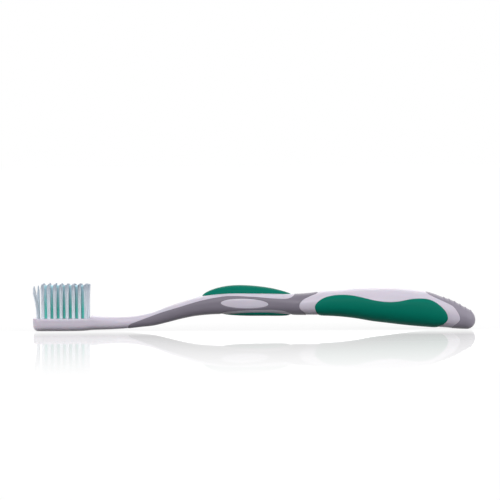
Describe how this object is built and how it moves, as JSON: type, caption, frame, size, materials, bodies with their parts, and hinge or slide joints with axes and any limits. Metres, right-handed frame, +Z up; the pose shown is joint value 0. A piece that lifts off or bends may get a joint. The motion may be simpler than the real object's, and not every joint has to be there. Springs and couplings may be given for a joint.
{
  "type": "manual toothbrush",
  "caption": "Manual toothbrush with a curved handle, soft grey and green grips, and a trimmed head of upright nylon bristles",
  "frame": {"origin": "on the table, under the middle of the brush's length and width", "axes": "the brush lies on its back: +X along the handle from the bristles to the tail, +Z up along the bristles, +Y across"},
  "size_m": [0.1902, 0.0166, 0.0204],
  "materials": {
    "handle_plastic": "glossy white moulded polypropylene",
    "grey_soft": "satin grey thermoplastic elastomer",
    "green_soft": "satin green thermoplastic elastomer",
    "white_bristle": "translucent white nylon filament",
    "green_bristle": "translucent green nylon filament",
    "anchor_metal": "nickel silver anchor wire"
  },
  "bodies": {
    "root": {"handle_core": "handle_plastic", "neck_sleeve": "grey_soft", "thumb_pad": "green_soft", "finger_pad": "green_soft", "palm_grip": "green_soft", "tail_cap": "grey_soft", "tuft_anchors": "anchor_metal", "tuft_outer_left_1": "white_bristle", "tuft_outer_left_2": "white_bristle", "tuft_outer_left_3": "white_bristle", "tuft_outer_left_4": "white_bristle", "tuft_outer_left_5": "white_bristle", "tuft_outer_left_6": "white_bristle", "tuft_outer_left_7": "white_bristle", "tuft_outer_left_8": "white_bristle", "tuft_outer_right_1": "white_bristle", "tuft_outer_right_2": "white_bristle", "tuft_outer_right_3": "white_bristle", "tuft_outer_right_4": "white_bristle", "tuft_outer_right_5": "white_bristle", "tuft_outer_right_6": "white_bristle", "tuft_outer_right_7": "white_bristle", "tuft_outer_right_8": "white_bristle", "tuft_inner_left_1": "green_bristle", "tuft_inner_left_2": "green_bristle", "tuft_inner_left_3": "green_bristle", "tuft_inner_left_4": "green_bristle", "tuft_inner_left_5": "green_bristle", "tuft_inner_left_6": "green_bristle", "tuft_inner_left_7": "green_bristle", "tuft_inner_right_1": "green_bristle", "tuft_inner_right_2": "green_bristle", "tuft_inner_right_3": "green_bristle", "tuft_inner_right_4": "green_bristle", "tuft_inner_right_5": "green_bristle", "tuft_inner_right_6": "green_bristle", "tuft_inner_right_7": "green_bristle", "tuft_tip_left": "white_bristle", "tuft_tip_right": "white_bristle", "tuft_heel_left": "white_bristle", "tuft_heel_right": "white_bristle"}
  },
  "joints": []
}
